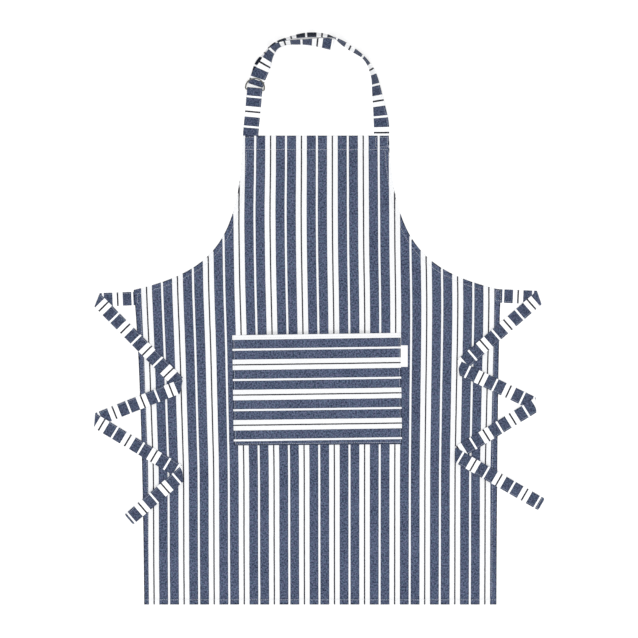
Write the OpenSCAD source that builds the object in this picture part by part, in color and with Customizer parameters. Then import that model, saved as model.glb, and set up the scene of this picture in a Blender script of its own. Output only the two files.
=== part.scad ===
// Butcher apron laid flat on its back: panel, pocket, label, neck loop with two D-rings, two folded waist ties.
// Frame: millimetres, +X to the right, +Y towards the bib and neck loop, +Z up out of the front face.
// The origin is under the middle of the whole object, on the surface it lies on.

/* [Part] */
// Sub-part to draw

/* [Apron panel] */
// Bottom hem to bib top
apron_length = 872; // [780:2:940]
// Half the width of the bottom hem
hem_half = 327.5; // [310:0.5:345]
// Half the width at the waist corners
waist_half = 341.5; // [328:0.5:350]
// Half the width of the bib's top edge
bib_half = 136.2; // [132:0.2:150]
// Waist corners above the bottom hem
waist_rise = 585; // [560:1:600]
// How far the bib lies to the right of the middle
bib_shift = -6; // [-8:0.5:4]
// How far the bottom hem lies to the right of the middle
hem_shift = 2.5; // [-4:0.5:4]
// Thickness of one layer of cloth
cloth_t = 1; // [0.8:0.1:1.2]
// Depth of the turned hem along the bib's top
bib_hem = 27; // [20:1:32]
// Depth of the turned hems on armholes, sides and bottom
edge_hem = 10; // [8:0.5:14]

/* [Pocket] */
// Pocket width
pocket_w = 313; // [280:1:330]
// Pocket depth, mouth to bottom
pocket_h = 206; // [180:1:220]
// Pocket centre across the panel
pocket_x = -3.4; // [-10:0.2:10]
// Height of the pocket mouth in the frame
pocket_mouth_y = -28; // [-40:1:-20]
// Turn of the pocket, sewn on a little askew
pocket_turn = 0.8; // [-1:0.1:1]
// How far the pocket's middle stands off the panel
pocket_gape = 8; // [6:0.5:10]
// Label length along the pocket's edge
label_l = 40; // [30:1:45]
// Label width out from the pocket's edge
label_w = 11.5; // [10:0.5:16]

/* [Straps and rings] */
// Width of the neck and ring straps
strap_w = 28.5; // [27:0.5:30]
// Thickness of the straps
strap_t = 1.8; // [1.6:0.1:1.9]
// Ring wire diameter
ring_wire = 2.4; // [2.2:0.1:3]
// Outside width of the D-rings
ring_w = 37.5; // [37:0.1:38]
// Length of the straight legs between bar and arc
ring_leg = 3.5; // [3:0.1:4]
// Resting slope of the front ring
ring_slope = 11.2; // [11:0.1:12]

/* [Ties] */
// Tie width
tie_w = 25; // [22:0.5:27]
// Tie thickness
tie_t = 1.8; // [1.5:0.1:1.8]

/* [Hidden] */
$fn = 48;
blue = [0.16, 0.19, 0.32];
white = [0.93, 0.93, 0.94];
steel = [0.75, 0.75, 0.76];
bib_y = 341;
hem_y = bib_y - apron_length;
waist_y = hem_y + waist_rise;
hem_t = 2 * cloth_t;
air = 0.05;
thread_w = 0.7;
thread_t = 0.3;
steps = 16;
side_steps = 8;
// Handles of the armhole curve and of the side curve
arm_a = [141.7, 141.2];
arm_b = [197.3, 87.6];
side_a = [334, -60];
left_side_a = [327.5, -95];
// Pocket section
border = 8;
ramp_x = 60;
ramp_y = 90;
pocket_z = cloth_t + air;
// Straps
seam_in = 22;
seam_t = 0.85;
seam_gap = 2.7;
bar_at = [-119.4, 426.2];
ring_turn = -5.3;
strap_skew = -13;
ring_r = ring_w / 2 - ring_wire / 2;
rear_z = 4;
front_z = 7.8;
eye_r = ring_wire / 2 + 0.4;
neck_x = 116.3;
ring_strap_x = -126.8;
lift = 0.3;
// Ties: crease points from the seam to the loose end, and the height under each run at its two ends
left_path = [[-326.5, 38.7], [-412.7, 35.4], [-255.5, -124.3],
  [-417.3, -188.7], [-253.5, -286.9], [-353.5, -372.8]];
right_path = [[326.5, 43.3], [409.6, 39.8], [259.2, -90.1], [403.8, -159.6], [252.6, -252.1], [413.7, -344.9]];
left_under = [[0, 0], [2.2, 3.3], [5, 0.3], [3.2, 3], [6.3, 1.5]];
right_under = [[0, 0], [2.2, 3.3], [5, 0.3], [3.2, 3], [6.3, 0.3]];
trim = 0.3;
tie_in = 17;

function lean(y) = bib_shift + (bib_y - y) / apron_length * (hem_shift - bib_shift);
function arm(t) = pow(1 - t, 3) * [bib_half, bib_y] + 3 * t * pow(1 - t, 2) * arm_a
  + 3 * t * t * (1 - t) * arm_b + pow(t, 3) * [waist_half, waist_y];
function side(t, s) = pow(1 - t, 2) * [waist_half, waist_y] + 2 * t * (1 - t) * (s < 0 ? left_side_a : side_a)
  + t * t * [hem_half, hem_y];
function unit(v) = v / norm(v);
function left_of(v) = [-v[1], v[0]];
// A point of the right-hand edge moved inwards by d
function arm_in(t, d) = arm(t) - d * left_of(unit(arm(min(1, t + 0.01)) - arm(max(0, t - 0.01))));
function side_in(t, d, s) = side(t, s)
  + d * left_of(-unit(side(min(1, t + 0.01), s) - side(max(0, t - 0.01), s)));
// The same point of the real, leaning edge; s is 1 on the right and -1 on the left
function lay(p, s) = [s * p[0] + lean(p[1]), p[1]];
function edge(s) = concat([for (i = [0:steps]) lay(arm(i / steps), s)],
  [for (i = [1:side_steps]) lay(side(i / side_steps, s), s)]);
function backwards(v) = [for (i = [len(v) - 1:-1:0]) v[i]];

module outline() {
  polygon(concat(edge(1), backwards(edge(-1))));
}

module arm_band(s, near, far) {
  polygon(concat([for (i = [0:steps]) lay(arm_in(i / steps, near), s)],
    backwards([for (i = [0:steps]) lay(arm_in(i / steps, far), s)])));
}

module side_band(s, near, far) {
  polygon(concat([for (i = [0:side_steps]) lay(side_in(i / side_steps, near, s), s)],
    backwards([for (i = [0:side_steps]) lay(side_in(i / side_steps, far, s), s)])));
}

module seam_block(x, w, z, h, d) {
  translate([x - w / 2, bib_y - d, z]) cube([w, d + 1, h]);
}

// Cover over a tie's sewn end, at the waist corner
module tie_cover(s, grow) {
  y = (s < 0 ? left_path[0][1] : right_path[0][1]) - tie_w / 2 - grow;
  x = s < 0 ? -waist_half - 10 : waist_half - tie_in - grow;
  translate([x, y]) square([tie_in + 10 + grow, tie_w + 2 * grow]);
}

module panel() {
  color(blue) difference() {
    union() {
      linear_extrude(cloth_t) outline();
      linear_extrude(hem_t) intersection() {
        outline();
        union() {
          translate([-400, bib_y - bib_hem]) square([800, bib_hem + 1]);
          translate([-400, hem_y]) square([800, edge_hem]);
          for (s = [-1, 1]) {
            arm_band(s, -2, edge_hem);
            side_band(s, -2, edge_hem);
            tie_cover(s, 3);
          }
        }
      }
    }
    seam_block(neck_x, strap_w + 0.4, -1, 1 + cloth_t, seam_in + 1);
    seam_block(ring_strap_x, strap_w + 0.4, -1, 1 + cloth_t, seam_in + 1);
    for (s = [-1, 1]) translate([0, 0, -1]) linear_extrude(1 + cloth_t) tie_cover(s, 1.2);
  }
}

function crown(w, rise) = [[-w / 2, 0], [-w / 2 + border, 0], [-w / 2 + border + ramp_x, rise],
  [w / 2 - border - ramp_x, rise], [w / 2 - border, 0], [w / 2, 0]];
function arch(low, high) = concat([for (p = crown(pocket_w, pocket_gape)) p + [0, high]],
  backwards([for (p = crown(pocket_w, pocket_gape)) [p[0], low]]));
// The pocket's volume up to a surface that stands z above its foot
module pocket_block(z, foot) {
  intersection() {
    translate([pocket_x, pocket_mouth_y + 1, pocket_z]) rotate([90, 0, 0])
      linear_extrude(pocket_h + 2) polygon(arch(foot, z));
    translate([pocket_x - pocket_w, pocket_mouth_y - pocket_h, pocket_z]) rotate([90, 0, 90])
      linear_extrude(2 * pocket_w) polygon([[0, foot], [0, z], [border, z], [border + ramp_y, pocket_gape + z],
        [pocket_h, pocket_gape + z], [pocket_h, foot]]);
  }
}

module askew() {
  middle_y = pocket_mouth_y - pocket_h / 2;
  translate([pocket_x, middle_y, 0]) rotate([0, 0, pocket_turn]) translate([-pocket_x, -middle_y, 0])
    children();
}

module pocket_panel() {
  color(blue) askew() difference() {
    pocket_block(cloth_t, 0);
    translate([0, 0, -cloth_t]) intersection() {
      pocket_block(cloth_t, -1);
      translate([pocket_x - pocket_w / 2 + border, pocket_mouth_y - pocket_h + border, pocket_z - 1])
        cube([pocket_w - 2 * border, pocket_h, 2 * pocket_gape]);
    }
    translate([pocket_x - pocket_w / 2 + border + ramp_x, pocket_mouth_y - 0.5, pocket_z - 1])
      cube([pocket_w - 2 * (border + ramp_x), 2, pocket_gape + 1]);
  }
}

module label_loop() {
  color(white) translate([pocket_x + pocket_w / 2 + 0.4, -69 - label_l / 2, pocket_z + 0.3])
    cube([label_w, label_l, 1]);
}

module ring(slope, z) {
  color(steel) translate([bar_at[0], bar_at[1], z]) rotate([0, 0, ring_turn]) rotate([slope, 0, 0]) {
    translate([-ring_r, 0, 0]) rotate([0, 90, 0]) cylinder(h = 2 * ring_r, r = ring_wire / 2);
    for (s = [-1, 1]) translate([s * ring_r, 0, 0]) {
      sphere(r = ring_wire / 2);
      rotate([-90, 0, 0]) cylinder(h = ring_leg, r = ring_wire / 2);
    }
    translate([0, ring_leg, 0]) rotate_extrude(angle = 180) translate([ring_r, 0]) circle(r = ring_wire / 2);
  }
}

module ring_front() {
  ring(ring_slope, front_z);
}

module ring_rear() {
  ring(0, rear_z);
}

module across(h, r, z) {
  translate([-h / 2, 0, z]) rotate([0, 90, 0]) cylinder(h = h, r = r);
}

module ring_strap() {
  out_r = eye_r + strap_t;
  color(blue) intersection() {
    translate([bar_at[0], bar_at[1], 0]) rotate([0, 0, ring_turn]) difference() {
      union() {
        across(strap_w, out_r, rear_z);
        across(strap_w, out_r, front_z);
        translate([-strap_w / 2, -out_r, rear_z]) cube([strap_w, 2 * out_r, front_z - rear_z]);
        translate([-strap_w / 2, 0, 0]) rotate([90, 0, 90]) linear_extrude(strap_w)
          polygon([[-90, lift], [0, lift], [0, rear_z], [-out_r, front_z], [-26, lift + 2 * strap_t],
            [-90, lift + 2 * strap_t]]);
      }
      across(strap_w + 2, eye_r, rear_z);
      across(strap_w + 2, eye_r, front_z);
      translate([-strap_w / 2 - 1, -eye_r, rear_z]) cube([strap_w + 2, 2 * eye_r, front_z - rear_z]);
    }
    translate([-200, bib_y + seam_gap, -1]) cube([200, 150, 30]);
  }
}

module ring_strap_seam() {
  color(blue) seam_block(ring_strap_x, strap_w, 0, seam_t, seam_in);
}

module neck_strap_seam() {
  color(blue) seam_block(neck_x, strap_w - 0.6, 0, seam_t, seam_in);
}

// Neck strap stations: x, y, height of the lower edge, azimuth and elevation of the width direction
function by_ring(x, y) = [bar_at[0] + x * cos(ring_turn) - y * sin(ring_turn),
  bar_at[1] + x * sin(ring_turn) + y * cos(ring_turn)];
// A place on the neck strap near the rings, which it enters at a slant: d beyond its turn
function by_turn(d) = by_ring(1.4 - d * sin(strap_skew), turn_y + d * cos(strap_skew));
function ring_station(d, z, el) = concat(by_turn(d), [z, ring_turn + strap_skew + 180, el]);
turn_r = 3.2;
turn_y = 12;
turn_z = lift + turn_r;
rise_stations = [
  [neck_x, bib_y + seam_gap, lift, 0, 0], [116, 363, lift + 0.3, 2, 12], [112.9, 387, lift, 6, 34],
  [107, 424, lift, 9, 56], [103.5, 446, lift, 12, 68], [98.2, 461.6, lift, 22, 74], [91.4, 474.9, lift, 34, 82],
  [81.7, 486.8, lift, 46, 84], [70.2, 495.4, lift, 55, 80], [57.3, 503.4, lift, 60, 76], [43, 513.2, lift, 62, 79],
  [26, 523.2, lift, 72, 94], [5.6, 527.4, lift, 86, 106], [-24, 527.6, lift, 93, 108],
  [-52, 522.8, lift, 105, 101], [-77, 513.8, lift, 120, 102], [-91.1, 502.7, lift, 136, 104],
  [-98.8, 491, lift, 150, 112], [-105.8, 474.5, lift, 161, 152]];
turn_stations = concat([ring_station(18, lift, 178), ring_station(10, lift, 180), ring_station(5, lift, 180)],
  [for (a = [0:45:180]) ring_station(-turn_r * sin(a), turn_z - turn_r * cos(a), 180)],
  [ring_station(5, lift + 2 * turn_r, 180), ring_station(11, lift + 2 * turn_r + 0.6, 180)]);
tail_stations = [[-108.8, 457, 9.6, 160, 199], [-99.6, 472.6, 19, 152, 221], [-92.2, 489.2, 22, 148, 239],
  [-80.6, 504.5, 20, 133, 251], [-63.2, 511.8, 10, 111, 259], [-43, 514, 2, 97, 257], [-22, 514.3, lift, 90, 253],
  [-3, 513.8, lift, 84, 241], [14, 512, lift, 80, 230], [25.6, 509.8, lift, 79, 227]];
stations = concat(rise_stations, turn_stations, tail_stations);
// A smooth curve through the stations, three steps to a span
function at(i) = stations[max(0, min(len(stations) - 1, i))];
function smooth(i, t) = 0.5 * (2 * at(i) + t * (at(i + 1) - at(i - 1))
  + t * t * (2 * at(i - 1) - 5 * at(i) + 4 * at(i + 1) - at(i + 2))
  + t * t * t * (3 * at(i) - at(i - 1) - 3 * at(i + 1) + at(i + 2)));
spans = 3;
ribbon = concat([for (i = [0:len(stations) - 2], j = [0:spans - 1]) smooth(i, j / spans)], [at(len(stations) - 1)]);
function middle(s) = [s[0], s[1], s[2] + strap_w / 2 * abs(sin(s[4])) + strap_t / 2 * abs(cos(s[4]))];
function width_way(s) = [cos(s[3]) * cos(s[4]), sin(s[3]) * cos(s[4]), sin(s[4])];
function near(i) = ribbon[max(0, min(len(ribbon) - 1, i))];
function run_way(i) = unit(middle(near(i + 1)) - middle(near(i - 1)));
function face_way(i) = unit(cross(run_way(i), width_way(ribbon[i])));
function corner(i, a, b) = middle(ribbon[i]) + a * strap_w / 2 * width_way(ribbon[i])
  + b * strap_t / 2 * face_way(i);

module neck_strap() {
  n = len(ribbon);
  points = [for (i = [0:n - 1], c = [[-1, -1], [1, -1], [1, 1], [-1, 1]]) corner(i, c[0], c[1])];
  walls = [for (i = [0:n - 2], k = [0:3], h = [0, 1])
    h == 0 ? [4 * i + k, 4 * i + 4 + k, 4 * i + 4 + (k + 1) % 4]
      : [4 * i + k, 4 * i + 4 + (k + 1) % 4, 4 * i + (k + 1) % 4]];
  ends = [[0, 1, 2], [0, 2, 3], [4 * n - 4, 4 * n - 2, 4 * n - 3], [4 * n - 4, 4 * n - 1, 4 * n - 2]];
  color(blue) polyhedron(points, concat(walls, ends));
}

// One straight run of a folded tie, cut off along the crease lines at its two ends
function way(p, i) = unit(p[i + 1] - p[i]);
function crease(p, i) = i == 0 ? left_of(way(p, 0))
  : i == len(p) - 1 ? left_of(way(p, i - 1)) : unit(way(p, i - 1) + way(p, i));
function cut(p, i, run, side) = p[i] + side * tie_w / 2 / (crease(p, i) * left_of(way(p, run))) * crease(p, i)
  + (i == run ? 1 : -1) * (i == 0 || i == len(p) - 1 ? 0 : trim) * way(p, run);
function run_corners(p, r) = [cut(p, r, r, 1), cut(p, r + 1, r, 1), cut(p, r + 1, r, -1), cut(p, r, r, -1)];
function under_at(p, under, r, q) = under[r][0] + (under[r][1] - under[r][0])
  * ((q - p[r]) * way(p, r)) / norm(p[r + 1] - p[r]);
function stand(p, under, r, q, up) = [q[0], q[1], under_at(p, under, r, q) + up];

module tie_run(p, under, r) {
  q = run_corners(p, r);
  color(blue) polyhedron([for (up = [0, tie_t], k = [0:3]) stand(p, under, r, q[k], up)],
    [[3, 2, 1, 0], [4, 5, 6, 7], [0, 1, 5, 4], [1, 2, 6, 5], [2, 3, 7, 6], [3, 0, 4, 7]]);
}

module tie_seam(p, s) {
  color(blue) difference() {
    linear_extrude(tie_t) polygon(run_corners(p, 0));
    translate([0, 0, seam_t]) linear_extrude(3) union() {
      side_band(s, -0.5, 60);
      arm_band(s, -0.5, 20);
    }
  }
}

// Second and third runs are one body: the fold between them is closed up
module tie_upper(p, under) {
  color(blue) union() {
    tie_run(p, under, 1);
    tie_run(p, under, 2);
  }
}

module tie_left_seam() {
  tie_seam(left_path, -1);
}

module tie_left_upper() {
  tie_upper(left_path, left_under);
}

module tie_left_lower() {
  tie_run(left_path, left_under, 3);
}

module tie_left_tail() {
  tie_run(left_path, left_under, 4);
}

module tie_right_seam() {
  tie_seam(right_path, 1);
}

module tie_right_upper() {
  tie_upper(right_path, right_under);
}

module tie_right_lower() {
  tie_run(right_path, right_under, 3);
}

module tie_right_tail() {
  tie_run(right_path, right_under, 4);
}

module sewn(z) {
  color(white) translate([0, 0, z + air]) linear_extrude(thread_t) children();
}

module frame_line(x, y, w, h) {
  difference() {
    translate([x, y]) square([w, h]);
    translate([x + thread_w, y + thread_w]) square([w - 2 * thread_w, h - 2 * thread_w]);
  }
}

module thread_bib_hem() {
  sewn(hem_t) translate([bib_shift + 1 - bib_half, bib_y - bib_hem + 1]) square([2 * bib_half - 2, thread_w]);
}

module thread_armhole(s) {
  sewn(hem_t) intersection() {
    arm_band(s, edge_hem - 1.5 - thread_w, edge_hem - 1.5);
    translate([-400, waist_y]) square([800, bib_y - bib_hem - waist_y]);
  }
}

module thread_armhole_left() {
  thread_armhole(-1);
}

module thread_armhole_right() {
  thread_armhole(1);
}

module thread_side(s) {
  sewn(hem_t) intersection() {
    side_band(s, edge_hem - 1.5 - thread_w, edge_hem - 1.5);
    translate([-400, hem_y + edge_hem]) square([800, waist_rise - edge_hem - 44]);
  }
}

module thread_side_left() {
  thread_side(-1);
}

module thread_side_right() {
  thread_side(1);
}

module thread_bottom_hem() {
  sewn(hem_t) translate([hem_shift + 1 - hem_half, hem_y + edge_hem - 1.5 - thread_w])
    square([2 * hem_half - 2, thread_w]);
}

module thread_pocket_hem() {
  color(white) askew() translate([pocket_x, pocket_mouth_y - 5, pocket_z + air]) rotate([90, 0, 0])
    linear_extrude(thread_w) polygon(concat([for (p = crown(pocket_w, pocket_gape)) p + [0, cloth_t + thread_t]],
      backwards([for (p = crown(pocket_w, pocket_gape)) p + [0, cloth_t]])));
}

module thread_pocket_edge() {
  askew() sewn(pocket_z + cloth_t) difference() {
    frame_line(pocket_x - pocket_w / 2 + 3, pocket_mouth_y - pocket_h + 3, pocket_w - 6, pocket_h);
    translate([pocket_x - pocket_w, pocket_mouth_y - 7]) square([2 * pocket_w, 10]);
  }
}

module thread_neck_strap() {
  sewn(hem_t) frame_line(neck_x - 11, bib_y - 21, 22, 18);
}

module thread_ring_strap() {
  sewn(hem_t) frame_line(ring_strap_x - 11, bib_y - 21, 22, 18);
}

module thread_tie_left() {
  sewn(hem_t) frame_line(-waist_half + 4, left_path[0][1] - 9, 9, 18);
}

module thread_tie_right() {
  sewn(hem_t) frame_line(waist_half - 13, right_path[0][1] - 9, 9, 18);
}

module tie_end_line(p, under) {
  last = len(p) - 1;
  along = way(p, last - 1);
  over = left_of(along);
  middle_line = p[last] - 5 * along;
  sewn(under_at(p, under, last - 1, middle_line) + tie_t + air) polygon([middle_line - 10 * over, middle_line + 10 * over,
    middle_line + 10 * over + thread_w * along, middle_line - 10 * over + thread_w * along]);
}

module thread_tie_left_end() {
  tie_end_line(left_path, left_under);
}

module thread_tie_right_end() {
  tie_end_line(right_path, right_under);
}

panel();
pocket_panel();
label_loop();
ring_strap_seam();
ring_strap();
ring_front();
ring_rear();
neck_strap_seam();
neck_strap();
tie_left_seam();
tie_left_upper();
tie_left_lower();
tie_left_tail();
tie_right_seam();
tie_right_upper();
tie_right_lower();
tie_right_tail();
thread_bib_hem();
thread_armhole_left();
thread_armhole_right();
thread_side_left();
thread_side_right();
thread_bottom_hem();
thread_pocket_hem();
thread_pocket_edge();
thread_neck_strap();
thread_ring_strap();
thread_tie_left();
thread_tie_right();
thread_tie_left_end();
thread_tie_right_end();
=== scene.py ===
"""Looks of a striped cotton bib apron lying flat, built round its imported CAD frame. Metres throughout."""

import math

import bpy
import numpy as np
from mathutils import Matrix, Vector


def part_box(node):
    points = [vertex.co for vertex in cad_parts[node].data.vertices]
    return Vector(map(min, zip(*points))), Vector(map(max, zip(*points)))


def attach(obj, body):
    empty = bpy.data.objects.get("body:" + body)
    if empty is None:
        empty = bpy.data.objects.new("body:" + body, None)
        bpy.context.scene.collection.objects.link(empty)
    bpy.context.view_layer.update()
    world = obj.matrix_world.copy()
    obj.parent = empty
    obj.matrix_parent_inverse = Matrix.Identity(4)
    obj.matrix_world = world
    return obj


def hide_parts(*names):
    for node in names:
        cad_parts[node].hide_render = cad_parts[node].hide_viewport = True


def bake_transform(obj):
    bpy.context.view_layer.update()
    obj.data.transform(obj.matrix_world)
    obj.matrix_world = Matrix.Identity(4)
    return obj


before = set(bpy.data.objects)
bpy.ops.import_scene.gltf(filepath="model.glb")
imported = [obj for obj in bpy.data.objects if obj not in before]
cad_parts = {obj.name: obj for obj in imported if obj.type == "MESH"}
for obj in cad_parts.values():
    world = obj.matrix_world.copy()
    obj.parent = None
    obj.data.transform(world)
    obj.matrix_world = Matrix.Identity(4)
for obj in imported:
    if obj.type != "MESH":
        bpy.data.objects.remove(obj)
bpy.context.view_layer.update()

# ------------------------------------------------ sizes shared with the CAD source
MM = 0.001
BIB_Y, HEM_Y, WAIST_Y = 0.341, -0.531, 0.054
BIB_HALF, HEM_HALF, WAIST_HALF = 0.1362, 0.3275, 0.3415
ARM_CURVE = [[BIB_HALF, BIB_Y], [0.1417, 0.1412], [0.1973, 0.0876], [WAIST_HALF, WAIST_Y]]
SIDE_CURVE = [[WAIST_HALF, WAIST_Y], [0.334, -0.060], [HEM_HALF, HEM_Y]]
LEFT_SIDE_CURVE = [[WAIST_HALF, WAIST_Y], [0.3275, -0.095], [HEM_HALF, HEM_Y]]
BIB_SHIFT, HEM_SHIFT = -0.006, 0.0025
EDGE_HEM, BIB_HEM = 0.010, 0.027
HEM_TOP, HEM_LEVEL = 0.002, 0.0017
EDGE_UNDER, END_UNDER = 0.00100, 0.00108
CLOTH = 0.0006
POCKET_W, POCKET_H = 0.313, 0.206
POCKET_X, POCKET_MOUTH = -0.0034, -0.028
POCKET_GAPE = 0.008
POCKET_LEVEL, POCKET_UNDER = 0.00155, 0.00112
POCKET_TURN = math.radians(0.8)
STRAP_W, STRAP_T = 0.0285, 0.0018
BAR = np.array([-0.1194, 0.4262])
RING_TURN = math.radians(-5.3)
RING_SLOPE = math.radians(11.2)
RING_R, WIRE_R, RING_LEG = 0.01755, 0.0012, 0.0035
REAR_BAR_Z, FRONT_BAR_Z = 0.004, 0.0078
TIE_W, TIE_T = 0.025, 0.0016
# Where a tie comes out from under the waist's corner
TIE_EMERGES = (0.3405, 0.3465)
LEFT_TIE = [
    [-0.3265, 0.0387], [-0.4127, 0.0354], [-0.2555, -0.1243],
    [-0.4173, -0.1887], [-0.2535, -0.2869], [-0.3535, -0.3728],
]
RIGHT_TIE = [
    [0.3265, 0.0433], [0.4096, 0.0398], [0.2592, -0.0901],
    [0.4038, -0.1596], [0.2526, -0.2521], [0.4137, -0.3449],
]
# Height under each run of a tie at its start and its end, in millimetres
LEFT_UNDER = [[0.0, 0.0], [2.2, 3.3], [5.0, 0.3], [3.2, 3.0], [6.3, 1.5]]
RIGHT_UNDER = [[0.0, 0.0], [2.2, 3.3], [5.0, 0.3], [3.2, 3.0], [6.3, 0.3]]

# Stripes: one repeat is a blue pair round a narrow white gap, then white with a thin blue line in its middle
REPEAT = 0.0566
# Distances from the white gap's middle over which the blue comes in beside the gap and beside the wide white
BLUE_FROM, BLUE_TO = (0.00172, 0.00192), (0.01862, 0.01842)
LINE_SOFT = 0.0001
TWILL = 0.0011
# The cloth lies a little stretched: height, place of the middle white gap and repeat there, in millimetres
STRIPES_DOWN = np.array([
    [341, -3.9, 57.4], [277, -3.9, 57.5], [203, -4.2, 58.0], [129, -3.7, 57.9], [54, -2.4, 57.9], [8, -1.5, 57.7],
    [-57, -0.7, 57.3], [-150, -0.3, 56.8], [-281, 0.6, 56.1], [-448, 0.7, 56.0], [-531, 0.9, 55.9],
])


def smoothstep(low, high, value):
    t = np.clip((np.asarray(value, float) - low) / (high - low), 0, 1)
    return t * t * (3 - 2 * t)


def unit(v):
    v = np.asarray(v, float)
    return v / np.maximum(np.linalg.norm(v, axis=-1, keepdims=True), 1e-12)


def bezier(points, t):
    p, t = np.array(points, float), np.asarray(t, float)[:, None]
    n = len(p) - 1
    return sum(math.comb(n, k) * t**k * (1 - t) ** (n - k) * p[k] for k in range(n + 1))


def smooth_interp(value, at, known):
    """Like np.interp, with rounded corners."""
    return sum(np.interp(value + d, at, known) for d in (-24, -12, 0, 12, 24)) / 5


def run_along(points):
    """Distance along a row of points, from the first."""
    return np.concatenate([[0], np.cumsum(np.linalg.norm(np.diff(points, axis=0), axis=1))])


# ------------------------------------------------ mesh helpers
def new_mesh(name, points, faces, uv, slots, materials, sharp=50):
    """An object from points, faces, one uv pair per point and one material number per face."""
    mesh = bpy.data.meshes.new(name)
    mesh.from_pydata(np.asarray(points).tolist(), [], [tuple(int(i) for i in f) for f in faces])
    layer = mesh.uv_layers.new(name="UVMap")
    corners = np.zeros(len(mesh.loops), np.int32)
    mesh.loops.foreach_get("vertex_index", corners)
    layer.data.foreach_set("uv", np.asarray(uv, np.float32)[corners].ravel())
    for m in materials:
        mesh.materials.append(m)
    mesh.polygons.foreach_set("material_index", np.asarray(slots, np.int32))
    mesh.shade_smooth()
    mesh.set_sharp_from_angle(angle=math.radians(sharp))
    mesh.update()
    obj = bpy.data.objects.new(name, mesh)
    bpy.context.scene.collection.objects.link(obj)
    return obj


def grid_normals(mid):
    along = np.gradient(mid, axis=0)
    across = np.gradient(mid, axis=1)
    return unit(np.cross(across, along))


def cloth_grid(name, mid, uv, materials, thickness=CLOTH):
    """A closed sheet of cloth round a grid of mid-surface points. materials are its face and its reverse."""
    rows, cols = mid.shape[:2]
    normal = grid_normals(mid)
    if normal[..., 2].mean() <= 0:
        normal = -normal
    points = np.concatenate([(mid + way * normal * thickness / 2).reshape(-1, 3) for way in (1, -1)])
    index = np.arange(rows * cols).reshape(rows, cols)
    quads = np.stack([index[:-1, :-1], index[:-1, 1:], index[1:, 1:], index[1:, :-1]], -1).reshape(-1, 4)
    flip = np.cross(mid[0, 1] - mid[0, 0], mid[1, 0] - mid[0, 0]) @ normal[0, 0] < 0
    top = quads[:, ::-1] if flip else quads
    bottom = top[:, ::-1] + rows * cols
    rim = np.concatenate([index[0, :], index[1:, -1], index[-1, -2::-1], index[-2:0:-1, 0]])
    after = np.roll(rim, -1)
    wall = np.stack([rim, rim + rows * cols, after + rows * cols, after], -1)
    wall = wall[:, ::-1] if flip else wall
    faces = np.concatenate([top, bottom, wall])
    slots = np.concatenate([np.zeros(len(top)), np.ones(len(bottom)), np.zeros(len(wall))])
    flat_uv = np.asarray(uv).reshape(-1, 2)
    return new_mesh(name, points, faces, np.concatenate([flat_uv, flat_uv]), slots, materials)


def strap_profile(width, thickness, columns=9, round_steps=4):
    """Closed cross-section of a strap, as (across, through) points with rounded edges."""
    r = thickness / 2
    xs = np.linspace(-width / 2 + r, width / 2 - r, columns)
    arc = np.linspace(math.pi / 2, -math.pi / 2, round_steps + 2)[1:-1]
    right = np.stack([width / 2 - r + r * np.cos(arc), r * np.sin(arc)], -1)
    top = np.stack([xs, np.full(columns, r)], -1)
    return np.concatenate([top, right, -top, -right])


def strap(name, left, right, through, u, width, thickness, materials):
    """A strap as a row of cross-sections from its left to its right edge line.

    through is the direction of its face, and u the distance along the cloth at the left and right of each row.
    """
    n = len(left)
    thickness = np.broadcast_to(thickness, n)
    profile = strap_profile(width, TIE_T)
    m = len(profile)
    rings = []
    for i in range(n):
        p = strap_profile(width, thickness[i])
        share = p[:, :1] / width + 0.5
        rings.append(left[i] * (1 - share) + right[i] * share + p[:, 1:] * through[i])
    points = np.concatenate(rings)
    share = profile[:, 0] / width + 0.5
    u_all = u[:, :1] * (1 - share) + u[:, 1:] * share
    uv = np.stack([u_all.ravel(), np.tile(profile[:, 0], n)], -1)
    index = np.arange(n * m).reshape(n, m)
    nxt = np.roll(index, -1, axis=1)
    quads = np.stack([index[:-1], index[1:], nxt[1:], nxt[:-1]], -1)
    reverse = (profile[:, 1] < 0) & (np.roll(profile[:, 1], -1) < 0)
    slots = np.concatenate([np.broadcast_to(reverse, quads.shape[:2]).ravel(), [0, 0]])
    faces = [tuple(q) for q in quads.reshape(-1, 4)] + [tuple(index[0]), tuple(index[-1][::-1])]
    first = quads[n // 2, 1]
    a, b, c = points[first[0]], points[first[1]], points[first[2]]
    if np.cross(b - a, c - a) @ through[n // 2] < 0:
        faces = [f[::-1] for f in faces]
    return new_mesh(name, points, faces, uv, slots, materials)


def strap_along(name, centre, across, through, run, width, thickness, materials):
    """A strap swept along its centre line, with square-cut rows."""
    half = across * width / 2
    return strap(name, centre - half, centre + half, through, np.column_stack([run, run]), width, thickness, materials)


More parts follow.
